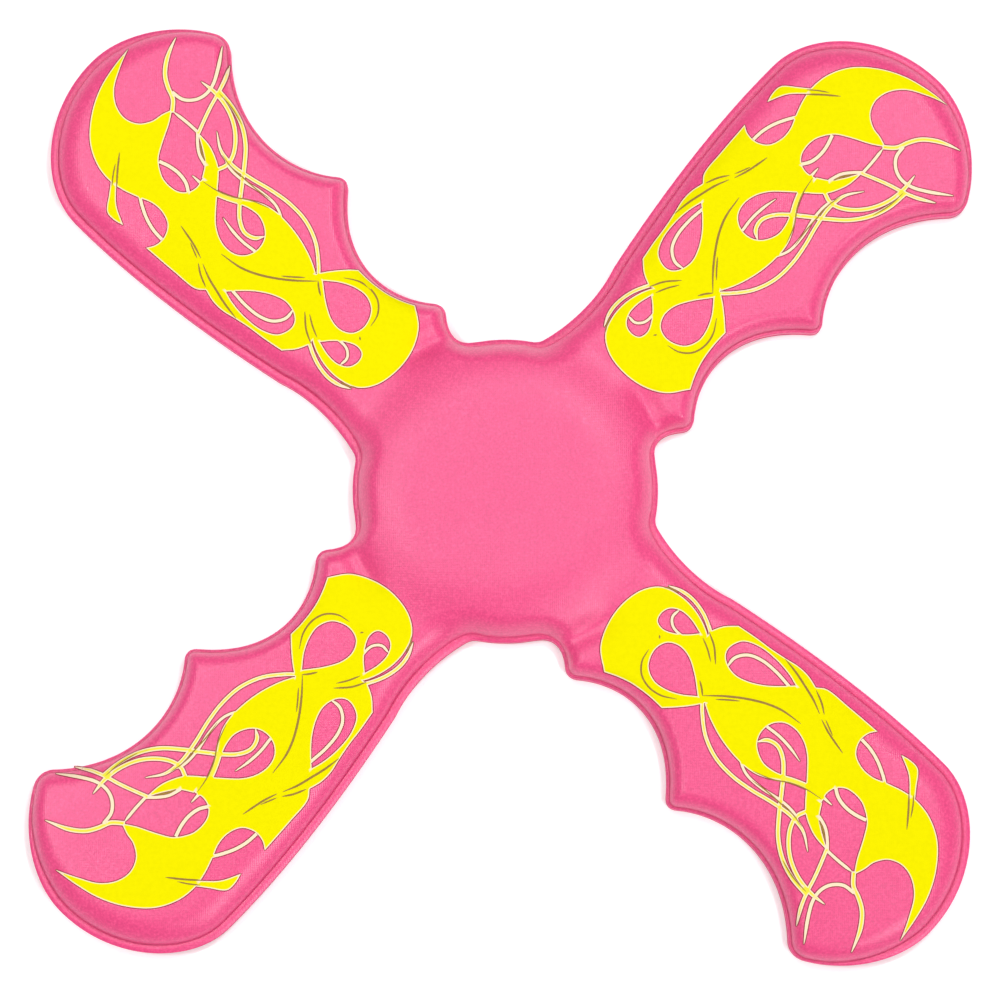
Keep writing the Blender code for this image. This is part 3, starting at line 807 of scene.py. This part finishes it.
pts2, tris2 = net([(1.0, 0.0), (1.0, 0.5), (1.0, 1.1), (1.0, 2.2)], 4, 2.3, first=0.25)
top2, _, _ = form(pts2)
under = top2 - COVER - SEAM
film_top = piece(layer("upper_bond_film", pts2, tris2, under, under - FILM), film, "hot_melt_film",
                 "bond_film_upper")
pts3, tris3 = net([(1.0, 1.6), (1.0, 2.4), (1.0, 3.4)], 4, 2.3, first=BODY_INSET, first_share=1.0)
top3, _, _ = form(pts3)
body_top = top3 - COVER - SEAM - FILM - SEAM
low = np.full(len(pts3), FILM_OVER[1] + SEAM)
body = piece(layer("moulded_foam_body", pts3, tris3, np.maximum(body_top, low + 0.2), low), foam, "foam",
             "foam_body")


def flat(name, span, inset, mat, slot, node, share=0.0, soft=0.0):
    p, t = net([(share, inset + 0.3), (share, inset + 0.8)], 2, 6.0, first=inset, first_share=share)
    d, _, _ = to_edge(p)
    round_off = soft * np.clip(1 - (d - inset) / 0.5, 0, 1) ** 2
    return piece(layer(name, p, t, np.full(len(p), span[1]), span[0] + round_off), mat, slot, node)


film_mid = flat("middle_bond_film", FILM_OVER, BODY_INSET, film, "hot_melt_film", "bond_film_middle", share=1.0)
backing = flat("foam_backing_sheet", BACKING, 0.12, foam_sheet, "foam_sheet", "foam_backing")
film_low = flat("lower_bond_film", FILM_LOWER, 0.3, film, "hot_melt_film", "bond_film_lower")
below = flat("bottom_cover_knit", BOTTOM, 0.0, knit_below, "pink_knit_lower", "bottom_cover", soft=0.22)

# ------------------------------------------------------------------ the prints
ink_pts, ink_tris, ink_full, shadow_pts, shadow_tris = ink_area()
slit_pts, slit_tris = slit_area()
print("print", len(ink_pts), len(ink_tris), "slits", len(slit_tris), "rim", len(shadow_tris))


def on_cover(points, tris, lift):
    """Heights that keep the corners and the middle of every triangle clear of the fabric."""
    def below(where):
        out = np.zeros(len(where))
        for i, (x, y) in enumerate(where):
            hit = surface.ray_cast(Vector((x, y, 60.0)), Vector((0, 0, -1)))
            out[i] = hit[0].z if hit[0] is not None else Z_RIM_TOP - 0.3
        return out
    z = below(points) + lift
    need = below(points[tris].mean(1)) + lift * 0.6
    for _ in range(2):
        short = np.maximum(need - z[tris].mean(1), 0)
        for corner in range(3):
            np.maximum.at(raised := np.zeros(len(z)), tris[:, corner], short)
            z = z + raised * 0.6
    return z


for k in range(ARMS):
    p = placed(ink_pts, k)
    z = on_cover(p, ink_tris, 0.09)
    ink = piece(layer(f"flame_print_ink_{k + 1}", p, ink_tris, z, z - 0.08, {"full": ink_full}), yellow,
                "yellow_print", f"flame_print_{k + 1}")
    # the edge strips are painted shadow along the print's border; the lines strips are the dark gaps of the print
    for what, flat_pts, flat_tris, lift, mat in (("lines", slit_pts, slit_tris, 0.14, olive),
                                                 ("edge", shadow_pts, shadow_tris, 0.05, shade)):
        p = placed(flat_pts, k)
        z = on_cover(p, flat_tris, lift)
        lines = layer(f"flame_print_{what}_{k + 1}", p, flat_tris, z, z - 0.03)
        lines.data.materials.append(mat)
        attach(lines, "root")

# ------------------------------------------------------------------ floor, light and camera
bpy.ops.mesh.primitive_plane_add(size=6.0, location=(0, 0, -0.0002))
floor = bpy.context.object
floor.name = "floor"
mat, tree, bsdf = new_material("pale_floor")
bsdf.inputs["Base Color"].default_value = (0.93, 0.93, 0.93, 1.0)
bsdf.inputs["Roughness"].default_value = 0.9
bsdf.inputs["Specular IOR Level"].default_value = 0.1
bsdf.inputs["Emission Color"].default_value = (1.0, 1.0, 1.0, 1.0)
bsdf.inputs["Emission Strength"].default_value = 0.16
floor.data.materials.append(mat)

world = bpy.data.worlds.new("studio")
bpy.context.scene.world = world
world.use_nodes = True
world.node_tree.nodes["Background"].inputs["Color"].default_value = (1.0, 1.0, 1.0, 1.0)
world.node_tree.nodes["Background"].inputs["Strength"].default_value = 0.31


def area_light(name, place, size, watts, target=(0.0, 0.0, 0.005)):
    data = bpy.data.lights.new(name, "AREA")
    data.shape = "DISK"
    data.size = size
    data.energy = watts
    obj = bpy.data.objects.new(name, data)
    obj.location = place
    obj.rotation_euler = (Vector(target) - Vector(place)).to_track_quat("-Z", "Y").to_euler()
    bpy.context.scene.collection.objects.link(obj)
    return obj


area_light("main", (0.05, 0.40, 1.75), 1.6, 6.0)
area_light("upper_left", (-0.50, 0.45, 1.20), 0.45, 1.5)
area_light("key", (1.70, -1.65, 2.20), 0.8, 34.0)
area_light("upper_right", (0.53, 0.66, 1.60), 0.26, 8.6)
area_light("left", (-0.64, 0.02, 1.15), 0.18, 4.4)
area_light("lower_right", (0.90, -1.15, 1.70), 0.25, 3.6)

ELEVATION = math.radians(83.1)
DISTANCE = 0.9697
PER_PIXEL = 0.265 * MM
aim = Vector((-5.29 * PER_PIXEL, -10.69 * PER_PIXEL, 0.006))
data = bpy.data.cameras.new("camera")
data.sensor_width = 36.0
data.lens = 132.7
data.clip_start = 0.05
camera = bpy.data.objects.new("camera", data)
camera.location = aim + Vector((0.0, -math.cos(ELEVATION), math.sin(ELEVATION))) * DISTANCE
camera.rotation_euler = (aim - camera.location).to_track_quat("-Z", "Y").to_euler()
bpy.context.scene.collection.objects.link(camera)
bpy.context.scene.camera = camera
bpy.context.scene.view_settings.view_transform = "Standard"
